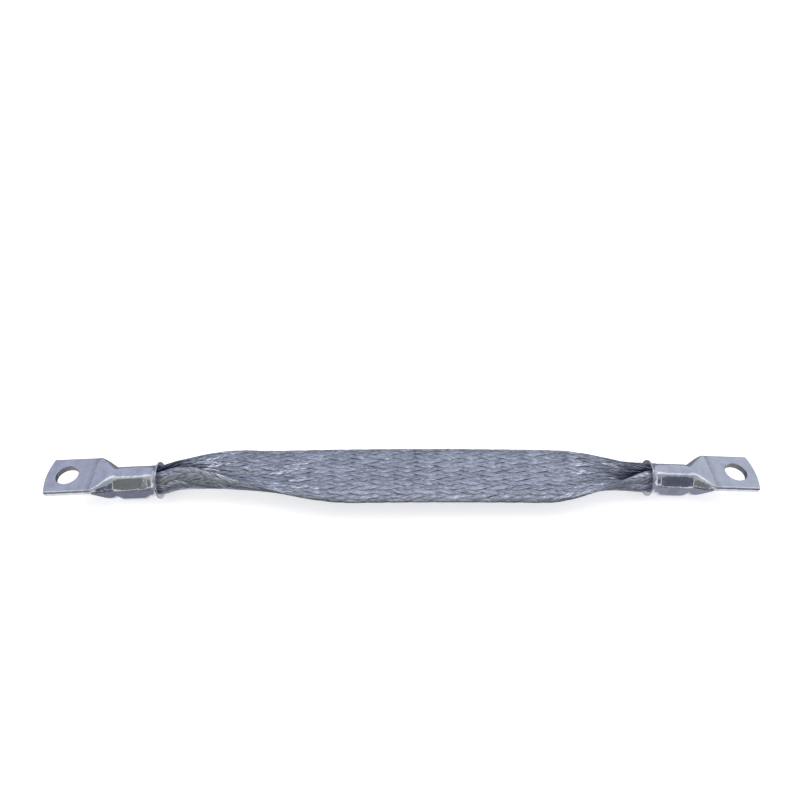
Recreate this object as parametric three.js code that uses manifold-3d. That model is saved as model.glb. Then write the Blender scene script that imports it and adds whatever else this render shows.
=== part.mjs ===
// Flexible busbar braid: a flat woven strap of tinned copper wire with a
// tubular lug crimped on each end. Millimetres, +Z up. The strap runs along X
// and lies as it does on a bench with the contact faces of its palms up: the
// lugs rest on their bell mouths and crimp lands, and the braid arches between
// them. The origin is under the middle of the strap, on the surface it lies on.

import * as THREE from 'three';
import { mergeVertices } from 'three/addons/utils/BufferGeometryUtils.js';
import Module from 'manifold-3d';

const wasm = await Module();
wasm.setup();

// Whole strap
const HOLE_SPACING = 257;        // between the centres of the two stud holes
const CLEARANCE = 0.3;           // between the braid and the bore that grips it

// Lug: one piece of tinned copper tube, bell-mouthed, pressed flat and punched
const BARREL_DIAMETER = 11.6;
const TUBE_WALL = 1.2;
const BARREL_LENGTH = 15.8;      // mouth to the start of the pressed slope
const SLOPE_LENGTH = 7.4;        // from the round barrel to the fold of the palm
const FOLD_TO_HOLE = 10.2;
const HOLE_TO_TIP = 7.5;
const STUD_HOLE = 8.4;           // clears an M8 stud
const PALM_FACE_RISE = 5.4;      // contact face above the barrel's axis
const PALM_EDGE_RADIUS = 0.7;
const TIP_BOW = 1.1;             // how far the middle of the tip stands past its corners
const TIP_CORNER = 1.0;
const COIN_STEP = 0.25;          // the palm is coined this much below the slope
const COIN_LENGTH = 0.6;

// Bell mouth
const BELL_DIAMETER = 14.1;
const BELL_LENGTH = 2.6;
const BELL_LIP = 0.45;           // straight rim at the mouth

// Crimp: the barrel is squared by the die, with a flat land round a punched pocket
const CRIMP_GAP = 0.6;           // round barrel left between the bell and the crimp
const CRIMP_SETBACK = 0.2;       // round barrel left between the crimp and the slope
const CRIMP_EASE = 1.5;          // run from the round barrel to the squared one
const CRIMP_HALF_WIDTH = 5.9;
const LAND_DEPTH = 6.2;          // land below the barrel's axis
const LAND_CORNER = 4.1;
const CRIMP_TOP_CORNER = 5;
const DIE_FLAT = 5.35;           // from the axis to the die's two sloping flats
const POCKET_LENGTH = 6.4;
const POCKET_WIDTH = 5.4;
const POCKET_DEPTH = 1.7;
const POCKET_DRAFT = 0.5;
const PEEP_HOLE = 1.8;           // inspection hole where the barrel ends

// Braid
const BRAID_WIDTH = 25.4;
const BRAID_THICKNESS = 2.9;
const STRAND_SPACING = 2.1;      // across the strap, between strands that wind the same way
const LAY_LENGTH = 200;          // one full turn of a strand round the tube
const RELIEF = 0.42;             // depth of the weave
const BRAID_SETBACK = 2.4;       // the braid stops this far short of the barrel's end
const BUNDLE_SWELL = 0.9;        // growth of the gathered bundle past the bore
const CREASE_WIDTH = 0.9;
const CREASE_DEPTH = 0.76;       // share of the bundle's height
const CRIMPED_CREASE_DEPTH = 0.4;

// Length over which each edge of the braid opens out, by end and side
const GATHER = {
  left: { near: 74, far: 40, hold: 12 },
  right: { near: 44, far: 42, hold: 0 },
};

// Worked out from the driving dimensions
const PALM_WIDTH = Math.PI * (BARREL_DIAMETER - TUBE_WALL) / 2;
const PALM_THICKNESS = 2 * TUBE_WALL;
const BARREL_RADIUS = BARREL_DIAMETER / 2;
const BORE_RADIUS = BARREL_RADIUS - TUBE_WALL;
const BELL_RADIUS = BELL_DIAMETER / 2;
const FOLD_AT = BARREL_LENGTH + SLOPE_LENGTH;
const HOLE_AT = FOLD_AT + FOLD_TO_HOLE;
const TIP_AT = HOLE_AT + HOLE_TO_TIP;
const CRIMP_START = BELL_LENGTH + CRIMP_GAP;
const CRIMP_END = BARREL_LENGTH - CRIMP_SETBACK;
const POCKET_AT = (CRIMP_START + CRIMP_END) / 2;
const INSERTION = BARREL_LENGTH - BRAID_SETBACK;

// The bundle is pressed flat below, clear of the bulge that the pocket raises
const CRIMPED_DEPTH = LAND_DEPTH - POCKET_DEPTH - TUBE_WALL - 2 * CLEARANCE;

// A lug lies on its bell and on the far edge of its land, which gives its tilt
const TILT = Math.atan2(BELL_RADIUS - LAND_DEPTH, CRIMP_END - CRIMP_EASE - BELL_LIP);
const AXIS_HEIGHT = BELL_RADIUS * Math.cos(TILT) + BELL_LIP * Math.sin(TILT);
const MOUTH_AT = HOLE_SPACING / 2 - HOLE_AT * Math.cos(TILT) - PALM_FACE_RISE * Math.sin(TILT);
const ARCH_RISE = MOUTH_AT * Math.tan(TILT) / 2;

// Strands of both hands; the two over, two under weave closes on a multiple of four
const CARRIERS = 4 * Math.max(2, Math.round(BRAID_WIDTH / STRAND_SPACING));

// Faceting
const CORNER_STEPS = 5;
const HOLE_SIDES = 36;
const PEEP_SIDES = 16;
const CORNER_FLAT = 0.1;         // least half length of a section's straight sides

const lugMetal = new THREE.MeshStandardMaterial({ color: 0xb4b8c6, metalness: 1, roughness: 0.28 });
const braidMetal = new THREE.MeshStandardMaterial({ color: 0x8f96a6, metalness: 1, roughness: 0.5 });

const mix = (a, b, t) => a + (b - a) * t;
const clamp01 = (t) => Math.min(1, Math.max(0, t));

function ease(t) {
  const c = clamp01(t);
  return c * c * (3 - 2 * c);
}

// A closed mesh as a solid that can be cut and joined.
function solidFrom(geometry) {
  const bare = geometry.clone();
  bare.deleteAttribute('normal');
  bare.deleteAttribute('uv');
  const merged = mergeVertices(bare, 1e-4);
  const mesh = new wasm.Mesh({
    numProp: 3,
    vertProperties: new Float32Array(merged.attributes.position.array),
    triVerts: new Uint32Array(merged.index.array),
  });
  return new wasm.Manifold(mesh);
}

function geometryFrom(solid) {
  const mesh = solid.getMesh();
  const geometry = new THREE.BufferGeometry();
  geometry.setAttribute('position', new THREE.BufferAttribute(new Float32Array(mesh.vertProperties), 3));
  geometry.setIndex(new THREE.BufferAttribute(new Uint32Array(mesh.triVerts), 1));
  geometry.computeVertexNormals();
  return geometry;
}

// Rings of equal count joined into a closed skin, each end closed on its middle.
function loftGeometry(rings) {
  const count = rings[0].length;
  const points = rings.flat();
  const index = [];
  for (let r = 0; r < rings.length - 1; r += 1) {
    for (let k = 0; k < count; k += 1) {
      const a = r * count + k;
      const b = r * count + (k + 1) % count;
      index.push(a, b, b + count, a, b + count, a + count);
    }
  }
  const last = (rings.length - 1) * count;
  const middle = (ring) => ring.reduce((sum, p) => sum.add(p), new THREE.Vector3()).divideScalar(count);
  const startHub = points.push(middle(rings[0])) - 1;
  const endHub = points.push(middle(rings[rings.length - 1])) - 1;
  for (let k = 0; k < count; k += 1) {
    const next = (k + 1) % count;
    index.push(startHub, next, k);
    index.push(endHub, last + k, last + next);
  }
  const geometry = new THREE.BufferGeometry().setFromPoints(points);
  geometry.setIndex(index);
  return geometry;
}

// A section across the lug: a rectangle of half width and of heights above and
// below the axis, with its own corner radius at top and bottom. Its upper
// corners reach no further from the axis than the die's sloping flats.
function sectionRing(at, section) {
  const { half, top, bottom } = section;
  const limit = Math.min(half, (top + bottom) / 2) - CORNER_FLAT;
  const topRadius = Math.min(section.topCorner, limit);
  const bottomRadius = Math.min(section.bottomCorner, limit);
  const corners = [
    { y: half - topRadius, z: top - topRadius, radius: topRadius, from: 0 },
    { y: topRadius - half, z: top - topRadius, radius: topRadius, from: 1 },
    { y: bottomRadius - half, z: bottomRadius - bottom, radius: bottomRadius, from: 2 },
    { y: half - bottomRadius, z: bottomRadius - bottom, radius: bottomRadius, from: 3 },
  ];
  const ring = [];
  for (const corner of corners) {
    for (let s = 0; s <= CORNER_STEPS; s += 1) {
      const angle = (corner.from + s / CORNER_STEPS) * Math.PI / 2;
      const y = corner.y + corner.radius * Math.cos(angle);
      const z = corner.z + corner.radius * Math.sin(angle);
      const excess = Math.max(0, (Math.abs(y) + z) / Math.SQRT2 - section.flat) / Math.SQRT2;
      ring.push(new THREE.Vector3(at, y - Math.sign(y) * excess, z - excess));
    }
  }
  return ring;
}

function roundSection(radius) {
  const flat = 2 * radius;
  return { half: radius, top: radius, bottom: radius, topCorner: radius, bottomCorner: radius, flat };
}

function blendSections(a, b, t) {
  const out = {};
  for (const key of Object.keys(a)) {
    out[key] = mix(a[key], b[key], t);
  }
  return out;
}

const PALM_SECTION = {
  half: PALM_WIDTH / 2,
  top: PALM_FACE_RISE,
  bottom: PALM_THICKNESS - PALM_FACE_RISE,
  topCorner: PALM_EDGE_RADIUS,
  bottomCorner: PALM_EDGE_RADIUS,
  flat: PALM_WIDTH,
};

const CRIMP_SECTION = {
  half: CRIMP_HALF_WIDTH,
  top: BARREL_RADIUS,
  bottom: LAND_DEPTH,
  topCorner: CRIMP_TOP_CORNER,
  bottomCorner: LAND_CORNER,
  flat: DIE_FLAT,
};

// The tube's outside at a distance from the mouth.
function lugSection(at) {
  if (at < BELL_LENGTH) {
    const open = 1 - clamp01((at - BELL_LIP) / (BELL_LENGTH - BELL_LIP));
    return roundSection(mix(BARREL_RADIUS, BELL_RADIUS, open * open));
  }
  if (at <= BARREL_LENGTH) {
    const rising = ease((at - CRIMP_START) / CRIMP_EASE);
    const falling = ease((CRIMP_END - at) / CRIMP_EASE);
    const crimped = Math.min(rising, falling);
    const section = blendSections(roundSection(BARREL_RADIUS), CRIMP_SECTION, crimped);
    section.flat = mix(BARREL_RADIUS, DIE_FLAT, crimped) + 0.01;
    return section;
  }
  const t = clamp01((at - BARREL_LENGTH) / SLOPE_LENGTH);
  const section = blendSections(roundSection(BARREL_RADIUS), PALM_SECTION, ease(t));
  const spread = Math.sin(t * Math.PI / 2);
  section.half = mix(BARREL_RADIUS, PALM_WIDTH / 2, spread);
  const before = clamp01((FOLD_AT - at) / COIN_LENGTH) * ease(t * 3);
  section.top += COIN_STEP * before;
  section.bottom += COIN_STEP * before;
  return section;
}

// The bore follows the outside one wall further in.
function boreSection(at) {
  const outside = lugSection(at);
  return {
    half: outside.half - TUBE_WALL,
    top: outside.top - TUBE_WALL,
    bottom: outside.bottom - TUBE_WALL,
    topCorner: Math.max(outside.topCorner - TUBE_WALL, TUBE_WALL / 4),
    bottomCorner: Math.max(outside.bottomCorner - TUBE_WALL, TUBE_WALL / 4),
    flat: outside.flat - TUBE_WALL,
  };
}

function stations(from, to, count) {
  return Array.from({ length: count + 1 }, (_, k) => mix(from, to, k / count));
}

// A punch's tapered block, its face down at a height over the axis; growth
// makes it larger all round, for the bulge the punch raises inside the bore.
function punchGeometry(faceHeight, growth) {
  const faceLength = POCKET_LENGTH - 2 * POCKET_DRAFT + 2 * growth;
  const faceWidth = POCKET_WIDTH - 2 * POCKET_DRAFT + 2 * growth;
  const reach = POCKET_DEPTH + growth;
  const flare = POCKET_DRAFT * reach / POCKET_DEPTH;
  const depth = reach + TUBE_WALL;
  const slope = flare * depth / reach;
  const block = new THREE.BoxGeometry(faceLength, faceWidth, depth);
  const position = block.attributes.position;
  for (let k = 0; k < position.count; k += 1) {
    if (position.getZ(k) < 0) {
      position.setX(k, position.getX(k) * (1 + 2 * slope / faceLength));
      position.setY(k, position.getY(k) * (1 + 2 * slope / faceWidth));
    }
  }
  block.translate(POCKET_AT, 0, faceHeight - depth / 2);
  return block;
}

// What the cropping tool takes off the palm's end: all past a bowed edge with
// two small round corners.
function tipTrimGeometry() {
  const half = PALM_WIDTH / 2;
  const spare = 2;
  const cornerAt = TIP_AT - TIP_BOW;
  const shape = new THREE.Shape();
  shape.moveTo(cornerAt - TIP_CORNER, -half - spare);
  shape.lineTo(cornerAt - TIP_CORNER, -half);
  shape.quadraticCurveTo(cornerAt, -half, cornerAt + TIP_BOW * 0.1, -half + TIP_CORNER);
  shape.quadraticCurveTo(TIP_AT + TIP_BOW * 0.9, 0, cornerAt + TIP_BOW * 0.1, half - TIP_CORNER);
  shape.quadraticCurveTo(cornerAt, half, cornerAt - TIP_CORNER, half);
  shape.lineTo(cornerAt - TIP_CORNER, half + spare);
  shape.lineTo(TIP_AT + 2 * spare, half + spare);
  shape.lineTo(TIP_AT + 2 * spare, -half - spare);
  shape.closePath();
  const depth = 2 * BARREL_DIAMETER;
  const geometry = new THREE.ExtrudeGeometry(shape, { depth, bevelEnabled: false, curveSegments: 10 });
  return geometry.translate(0, 0, -depth / 2);
}

function drillGeometry(diameter, sides, at, bottom, top) {
  const drill = new THREE.CylinderGeometry(diameter / 2, diameter / 2, top - bottom, sides);
  return drill.rotateX(Math.PI / 2).translate(at, 0, (top + bottom) / 2);
}

function lugGeometry() {
  const outsideStops = [
    0, BELL_LIP, ...stations(BELL_LIP, BELL_LENGTH, 4).slice(1),
    ...stations(CRIMP_START, CRIMP_START + CRIMP_EASE, 3),
    ...stations(CRIMP_END - CRIMP_EASE, CRIMP_END, 3),
    ...stations(BARREL_LENGTH, FOLD_AT - COIN_LENGTH, 9), FOLD_AT, TIP_AT + 1,
  ];
  const outside = solidFrom(loftGeometry(outsideStops.map((at) => sectionRing(at, lugSection(at)))));
  const boreEnd = BARREL_LENGTH + 0.82 * SLOPE_LENGTH;
  const boreStops = [
    BELL_LIP, ...stations(BELL_LIP, BELL_LENGTH, 4).slice(1),
    ...stations(CRIMP_START, CRIMP_START + CRIMP_EASE, 2),
    ...stations(CRIMP_END - CRIMP_EASE, CRIMP_END, 2),
    ...stations(BARREL_LENGTH, boreEnd, 5),
  ];
  const boreRings = boreStops.map((at) => sectionRing(at, boreSection(at)));
  boreRings.unshift(sectionRing(-1, boreSection(0)));
  const bulge = solidFrom(punchGeometry(POCKET_DEPTH + TUBE_WALL - LAND_DEPTH, TUBE_WALL));
  const bore = solidFrom(loftGeometry(boreRings)).subtract(bulge);
  const pocket = solidFrom(punchGeometry(POCKET_DEPTH - LAND_DEPTH, 0));
  const studHole = solidFrom(drillGeometry(STUD_HOLE, HOLE_SIDES, HOLE_AT, -BARREL_RADIUS, BARREL_DIAMETER));
  const peepHole = solidFrom(drillGeometry(PEEP_HOLE, PEEP_SIDES, BARREL_LENGTH, -BARREL_DIAMETER, 0));
  const body = outside.subtract(bore).subtract(pocket).subtract(studHole).subtract(peepHole);
  return geometryFrom(body.subtract(solidFrom(tipTrimGeometry())));
}

// Round the braid, turn runs from 0 at the middle of its underside to 1/4 at
// the near edge, 1/2 at the middle of the top and 3/4 at the far edge. This
// wave is 0, 1, 0 and -1 there.
function edgeWave(turn) {
  const wrapped = turn - Math.floor(turn + 0.25);
  return wrapped < 0.25 ? 4 * wrapped : 2 - 4 * wrapped;
}

function isTop(turn) {
  const wrapped = turn - Math.floor(turn);
  return wrapped > 0.25 && wrapped < 0.75;
}

// The free braid: a flat oval that thins only close to its edges.
function flatPoint(turn) {
  const wave = edgeWave(turn);
  const height = BRAID_THICKNESS / 2 * Math.sqrt(Math.max(0, 1 - Math.abs(wave) ** 6));
  return { y: -BRAID_WIDTH / 2 * wave, z: isTop(turn) ? height : -height };
}

// The gathered braid: its two edges rolled up until they meet over a crease,
// so that it fills a round bore of this radius. The crimp's punch closes the
// lower part of the crease, by a share of 0 to 1.
function bundlePoint(turn, radius, pressed) {
  const wave = edgeWave(turn);
  const creaseAngle = Math.asin(CREASE_WIDTH / 2 / radius);
  if (!isTop(turn)) {
    const angle = (Math.PI - creaseAngle) * wave;
    return { y: -radius * Math.sin(angle), z: -radius * Math.cos(angle) };
  }
  const lip = radius * Math.cos(creaseAngle);
  const floor = lip - 2 * radius * mix(CREASE_DEPTH, CRIMPED_CREASE_DEPTH, pressed);
  const side = Math.sign(wave) * Math.min(1, 3 * Math.abs(wave));
  return { y: -CREASE_WIDTH / 2 * side, z: mix(floor, lip, Math.abs(wave)) };
}

// How far the braid is gathered, from 1 in the barrel to 0 where it lies flat,
// at a distance out from the mouth.
function gatherShare(out, length, hold) {
  const t = clamp01((out - hold) / (length - hold));
  return (1 - t) ** 2 * (1 + 0.8 * t + hold / length * t);
}

function gatherAt(turn, x) {
  const end = x < 0 ? GATHER.left : GATHER.right;
  const out = MOUTH_AT - Math.abs(x);
  const near = gatherShare(out, end.near, end.hold);
  const far = gatherShare(out, end.far, 0);
  return mix(far, near, 0.5 + 0.5 * edgeWave(turn));
}

function centreHeight(x) {
  const out = MOUTH_AT - Math.abs(x);
  if (out < 0) {
    return AXIS_HEIGHT + out * Math.tan(TILT);
  }
  return AXIS_HEIGHT + ARCH_RISE * (1 - (x / MOUTH_AT) ** 2);
}

// A point of the braid's outside, by its turn round the tube and its place along X.
function braidPoint(turn, x) {
  const out = MOUTH_AT - Math.abs(x);
  const swell = BUNDLE_SWELL * ease((out + BELL_LENGTH) / (2 * BELL_LENGTH));
  const flat = flatPoint(turn);
  const pressed = ease((-out - BELL_LENGTH) / CRIMP_EASE);
  const radius = mix(BORE_RADIUS, DIE_FLAT - TUBE_WALL, pressed) - CLEARANCE + swell;
  const bundle = bundlePoint(turn, radius, pressed);
  const share = gatherAt(turn, x);
  const z = Math.max(mix(flat.z, bundle.z, share), -mix(BRAID_WIDTH, CRIMPED_DEPTH, pressed));
  return new THREE.Vector3(x, mix(flat.y, bundle.y, share), z + centreHeight(x));
}

function outwardNormal(turn, x) {
  const step = 0.004;
  const across = braidPoint(turn + step, x).sub(braidPoint(turn - step, x));
  const along = braidPoint(turn, x + 0.5).sub(braidPoint(turn, x - 0.5));
  return along.cross(across).normalize();
}

// Two strands over and two under: whether strand a of one hand lies on strand
// b of the other where they cross.
function liesOver(a, b) {
  return (((a + b) % 4) + 4) % 4 < 2;
}

// Height of the weave, from 0 in a hole to 1 on a strand, at half steps i and
// j across the strands of each hand.
function weaveHeight(i, j) {
  const oddI = i % 2 !== 0;
  const oddJ = j % 2 !== 0;
  if (oddI && oddJ) {
    return 1;
  }
  if (!oddI && !oddJ) {
    return 0.1;
  }
  const onStrand = oddI
    ? [liesOver((i - 1) / 2, j / 2 - 1), liesOver((i - 1) / 2, j / 2)]
    : [!liesOver(i / 2 - 1, (j - 1) / 2), !liesOver(i / 2, (j - 1) / 2)];
  return [0.35, 0.45, 1][Number(onStrand[0]) + Number(onStrand[1])];
}

// Strands bunch up on the rolled edges, where the weave is shallower.
function weaveDepth(turn, x) {
  return RELIEF * (1 - 0.8 * gatherAt(turn, x) * edgeWave(turn) ** 4);
}

// The woven skin: rings one half step apart along the strap, each turned half
// a step, so that the points are the crossings of the strands.
function braidGeometry() {
  const around = 2 * CARRIERS;
  const ringStep = LAY_LENGTH / around;
  const reach = MOUTH_AT + INSERTION * Math.cos(TILT);
  const lastRing = Math.floor(reach / ringStep);
  const rings = [];
  for (let m = -lastRing; m <= lastRing; m += 1) {
    const odd = Math.abs(m % 2);
    const ring = [];
    for (let k = 0; k < CARRIERS; k += 1) {
      const n = 2 * k + odd;
      const turn = n / around;
      const x = m * ringStep;
      const sink = weaveDepth(turn, x) * (1 - weaveHeight((n - m) / 2, (n + m) / 2));
      const point = braidPoint(turn, x);
      const inward = outwardNormal(turn, x).setX(0).multiplyScalar(-sink);
      ring.push(point.add(inward));
    }
    rings.push(ring);
  }
  return skinGeometry(rings, lastRing);
}

function skinGeometry(rings, lastRing) {
  const index = [];
  for (let r = 0; r < rings.length - 1; r += 1) {
    const odd = Math.abs((r - lastRing) % 2);
    for (let k = 0; k < CARRIERS; k += 1) {
      const here = r * CARRIERS + k;
      const hereNext = r * CARRIERS + (k + 1) % CARRIERS;
      const there = here + CARRIERS;
      const thereNext = hereNext + CARRIERS;
      if (odd) {
        index.push(here, there, thereNext, here, thereNext, hereNext);
      } else {
        index.push(here, there, hereNext, hereNext, there, thereNext);
      }
    }
  }
  const first = rings[0];
  const last = rings[rings.length - 1];
  const lastStart = (rings.length - 1) * CARRIERS;
  const flatRing = (ring) => ring.map((p) => new THREE.Vector2(p.y, p.z));
  for (const [a, b, c] of THREE.ShapeUtils.triangulateShape(flatRing(first), [])) {
    index.push(...capTriangle(first, a, b, c, -1));
  }
  for (const [a, b, c] of THREE.ShapeUtils.triangulateShape(flatRing(last), [])) {
    index.push(...capTriangle(last, a, b, c, 1).map((k) => k + lastStart));
  }
  const geometry = new THREE.BufferGeometry().setFromPoints(rings.flat());
  geometry.setIndex(index);
  geometry.computeVertexNormals();
  return geometry;
}

// A triangle of an end face, turned to face along X the way given.
function capTriangle(ring, a, b, c, facing) {
  const edge = ring[b].clone().sub(ring[a]);
  const normal = edge.cross(ring[c].clone().sub(ring[a]));
  return normal.x * facing > 0 ? [a, b, c] : [a, c, b];
}

function placeLug(name, side) {
  const lug = new THREE.Mesh(lugGeometry(), lugMetal);
  lug.name = name;
  lug.position.set(side * MOUTH_AT, 0, AXIS_HEIGHT);
  lug.rotation.set(0, side * TILT, side < 0 ? Math.PI : 0);
  return lug;
}

const strap = new THREE.Group();
const braid = new THREE.Mesh(braidGeometry(), braidMetal);
braid.name = 'braid';
strap.add(placeLug('lug_left', -1), placeLug('lug_right', 1), braid);

export default strap;
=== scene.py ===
"""Flexible busbar braid, dressed round its fixed frame.

Shape functions work in millimetres and the meshes are in metres. X runs along
the strap, -Y is the side nearest the camera and Z is up. On a lug, u is the
distance from its mouth towards its tip, v goes across it and w up from the
barrel's axis. Round the braid, turn goes from 0 under its middle, by the near
edge and the top, to 1.
"""

import math

import bpy
import numpy as np
from mathutils import Matrix


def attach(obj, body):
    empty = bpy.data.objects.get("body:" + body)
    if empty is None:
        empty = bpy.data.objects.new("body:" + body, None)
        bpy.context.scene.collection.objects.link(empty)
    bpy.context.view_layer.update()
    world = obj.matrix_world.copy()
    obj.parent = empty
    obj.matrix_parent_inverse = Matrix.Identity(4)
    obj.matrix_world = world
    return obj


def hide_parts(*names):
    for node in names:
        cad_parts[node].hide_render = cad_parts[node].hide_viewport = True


bl_info = {
    "name": "Flexible busbar braid",
    "version": (1, 0, 0),
    "blender": (4, 5, 0),
    "location": "3D View > Sidebar > Braid",
    "description": "Woven strap with a tubular lug crimped on each end",
    "category": "Object",
}

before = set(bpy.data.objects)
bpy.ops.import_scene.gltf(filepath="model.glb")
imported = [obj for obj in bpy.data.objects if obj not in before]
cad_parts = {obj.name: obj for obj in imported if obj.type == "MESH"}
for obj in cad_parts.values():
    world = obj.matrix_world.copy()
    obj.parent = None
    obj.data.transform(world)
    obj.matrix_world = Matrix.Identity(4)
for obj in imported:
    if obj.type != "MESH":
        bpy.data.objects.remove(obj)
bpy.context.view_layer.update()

MM = 0.001

# Whole strap
HOLE_SPACING = 257.0
CLEARANCE = 0.3

# Lug
BARREL_DIAMETER = 11.6
TUBE_WALL = 1.2
BARREL_LENGTH = 16.8
SLOPE_LENGTH = 7.4
FOLD_TO_HOLE = 10.2
HOLE_TO_TIP = 8.0
STUD_HOLE = 8.4
HOLE_CHAMFER = 0.15
PALM_FACE_RISE = 5.4
PALM_EDGE_RADIUS = 1.15
TIP_BOW = 1.1
TIP_CORNER = 1.0
TIP_BREAK = 0.22                 # of the cropped end's upper edge
COIN_STEP = 0.25
COIN_LENGTH = 0.6
COIN_SPREAD = 1.04
BELL_DIAMETER = 14.1
BELL_LENGTH = 2.6
BELL_LIP = 0.45
LIP_ROUND = 0.22
RIM_THINNING = 0.5
RIM_RUN = 2.0
CORNER_FLAT = 0.1
PEEP_HOLE = 1.8
SHARP_ANGLE = math.radians(28)

# Crimp
CRIMP_GAP = 0.6
CRIMP_SETBACK = 0.2
CRIMP_EASE = 1.5
LAND_EASE = 2.8
CRIMP_HALF_WIDTH = 5.9
LAND_DEPTH = 6.2
LAND_CORNER = 4.1
CRIMP_TOP_CORNER = 5.0
DIE_FLAT = 5.35
DIE_FACE = 5.56                  # from the axis to the polished face of the flats
DIE_LEAN = math.radians(52)      # of the polished faces, from level
DIE_BITE = 0.7                   # 1 would leave the faces quite flat
DIE_EDGE = 1.3                   # run over which the flats end
DIE_DROP = 0.80                  # how far they rise over that run
DIE_START = 2.7                  # from the mouth to the flats
DIE_OVERRUN = 0.9                # of the flats, onto the slope
POCKET_LENGTH = 6.4
POCKET_WIDTH = 5.4
POCKET_DEPTH = 1.7
POCKET_DRAFT = 0.5
PUNCH_CORNER = 0.55
PUNCH_EDGE = ((0.0, -0.24), (0.08, -0.08), (0.24, 0.0))  # depth, and how far the block is drawn in

# Braid
BRAID_WIDTH = 25.4
BRAID_THICKNESS = 2.9
STRANDS = 24                     # that wind each way
LAY_LENGTH = 200.0
BRAID_SETBACK = 2.4
OVAL_POWER = 6                   # a higher one would square the flat braid's edges
EDGE_SPREAD = 0.35               # loose outer wires beyond the nominal width
EDGE_DROOP = 0.5                 # the near edge hangs lower
BUNDLE_SWELL = 0.9
MOUTH_SWELL = 0.55               # the wires spread to fill the bell mouth
CREASE_WIDTH = 0.9
CREASE_DEPTH = 0.76
CREASE_STEEPNESS = 3
CRIMPED_CREASE_DEPTH = 0.4
WIDEST_CREASE = 0.9              # of the bundle's radius
GATHER_RISE = 0.8
GATHER_LEFT = {"near": (74.0, 12.0), "far": (32.0, 0.0)}  # from the mouth to its end and start
GATHER_RIGHT = {"near": (43.0, 0.0), "far": (34.0, 0.0)}
LEFT_LIFT = 1.1                  # of the bundle where it leaves the left barrel
LEFT_SHIFT = 1.2                 # of it towards the far side
LEFT_START = -2.0
LEFT_PEAK = 9.0
LEFT_RUN = 46.0

# Strands: flat ribbons of fine wires laid side by side
WIRES = 8
RIBBON_THICKNESS = 0.45
RIBBON_CROWN = 0.16
CROWN_POWER = 2.5
STRAND_STEPS = 310
OVER_FULL = 0.75                 # crossings from the middle of an over-float
OVER_NONE = 1.25
FLOAT_BELLY = 0.14
FLOAT_LIFT = 0.08
LEAST_HALF = 0.12                # left of the braid's half thickness at the deepest
CORE_INSET = 1.05
CORE_RIDGE = 0.12
CORE_SETBACK = 0.5
CORE_HUB_DROP = 2.2
CORE_ROWS = 200
CORE_COLUMNS = 96

# How uneven the strands lie: size, and how far apart it changes
SWAY_SLOW = (0.05, 11.0)
SWAY_QUICK = (0.03, 3.4)
FILL_WANDER = (0.05, 6.0)
RIBBON_LEAN = (0.07, 5.0)
WIRE_LEVEL = (0.03, 2.6)

# Loose wires: least and most of each
STRAY_START = (-88, 84)
STRAY_LENGTH = (3.5, 9.5)
STRAY_TURN = (0.27, 0.73)
STRAY_LIFT = (0.12, 0.55)
STRAY_SWAY = (-0.012, 0.012)
TUFT_START = (0.2, 2.0)
TUFT_LENGTH = (3.0, 7.5)
TUFT_TURN = (0.60, 0.80)
TUFT_LIFT = (0.3, 1.1)
TUFT_SWAY = (-0.035, 0.035)
WIRE_STEPS = 16
WIRE_SIDES = 6
WIRE_TIP = 0.6

# Worked out from the sizes above
BARREL_RADIUS = BARREL_DIAMETER / 2
BELL_RADIUS = BELL_DIAMETER / 2
BORE_RADIUS = BARREL_RADIUS - TUBE_WALL
PALM_WIDTH = COIN_SPREAD * math.pi * (BARREL_DIAMETER - TUBE_WALL) / 2
PALM_THICKNESS = 2 * TUBE_WALL
PALM_BACK_RISE = PALM_FACE_RISE - PALM_THICKNESS
FOLD_AT = BARREL_LENGTH + SLOPE_LENGTH
HOLE_AT = FOLD_AT + FOLD_TO_HOLE
TIP_AT = HOLE_AT + HOLE_TO_TIP
CRIMP_START = BELL_LENGTH + CRIMP_GAP
CRIMP_END = BARREL_LENGTH - CRIMP_SETBACK
DIE_END = BARREL_LENGTH + DIE_OVERRUN
POCKET_AT = (CRIMP_START + CRIMP_END) / 2
INSERTION = BARREL_LENGTH - BRAID_SETBACK
CRIMPED_DEPTH = LAND_DEPTH - POCKET_DEPTH - TUBE_WALL - 2 * CLEARANCE
TILT = math.atan2(BELL_RADIUS - LAND_DEPTH, CRIMP_END - CRIMP_EASE - BELL_LIP)
AXIS_HEIGHT = BELL_RADIUS * math.cos(TILT) + BELL_LIP * math.sin(TILT)
MOUTH_AT = HOLE_SPACING / 2 - HOLE_AT * math.cos(TILT) - PALM_FACE_RISE * math.sin(TILT)
ARCH_RISE = MOUTH_AT * math.tan(TILT) / 2
REACH = MOUTH_AT + INSERTION * math.cos(TILT)

# Camera, at the photograph's viewing angle
LENS = 33.379
SENSOR = 36.0
CLIP_START = 0.01
PITCH_DOWN = 0.770017
YAW = -0.0468157
ROLL = 0.0311698
CAMERA_PLACE = (-12.0784, -184.5126, 228.857)

# Stage
LAMP_SIZE = (1.0, 0.7)
LAMP_PLACE = (-0.1, 0.15, 0.8)
LAMP_TURN = (-12, -8, 0)
FLOOR_GLOW = 0.5

# Colours of painted shade, painted glints and a warm cast
# painted shade that darkens the lugs' bore, pocket, stud hole and fold
RECESS_SHADE_COLOUR = (0.055, 0.052, 0.05)
ROLLED_SHADE = (0.34, 0.37, 0.45)
WIRE_GLINT = (0.85, 0.88, 0.95)
WARM_CAST = (0.34, 0.34, 0.27)


# Numbers


def mix(a, b, t):
    """a where t is 0, b where t is 1."""
    return a + (b - a) * t


def ease(t):
    """Smooth step: three t squared less two t cubed, with t held from 0 to 1."""
    held = np.clip(t, 0, 1)
    return held * held * (3 - 2 * held)


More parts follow.
